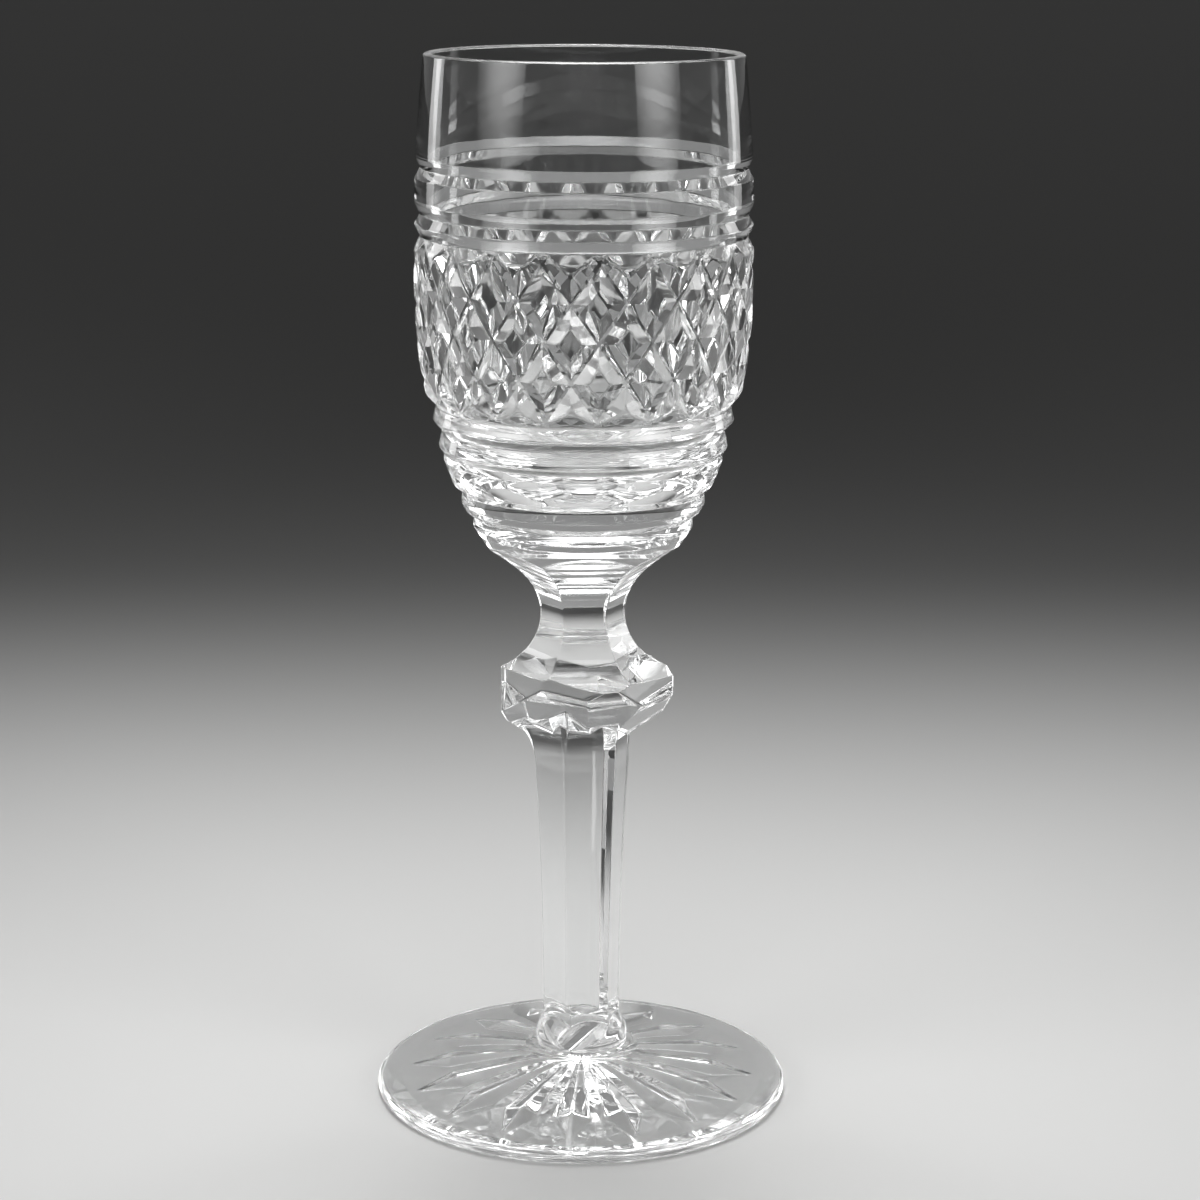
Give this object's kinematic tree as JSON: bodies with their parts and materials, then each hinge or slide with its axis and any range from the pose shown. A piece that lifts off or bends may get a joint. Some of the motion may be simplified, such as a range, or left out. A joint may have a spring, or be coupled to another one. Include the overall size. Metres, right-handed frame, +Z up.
{
  "type": "sherry glass",
  "caption": "Stemmed sherry glass in clear cut glass: deep ring-cut bowl with a band of diamonds, fluted neck, cut knop, six-sided shank and a round foot with a star underneath.",
  "frame": {"origin": "centre of the resting ring under the foot, on the table", "axes": "+Z up along the glass's axis, -Y towards the viewer of the picture, +X to that viewer's right"},
  "size_m": [0.0622, 0.0622, 0.156],
  "materials": {
    "bowl_glass": "clear polished cut glass",
    "stem_glass": "clear polished cut glass",
    "foot_glass": "clear polished cut glass"
  },
  "bodies": {
    "root": {"bowl": "bowl_glass", "stem": "stem_glass", "foot": "foot_glass"}
  },
  "joints": []
}
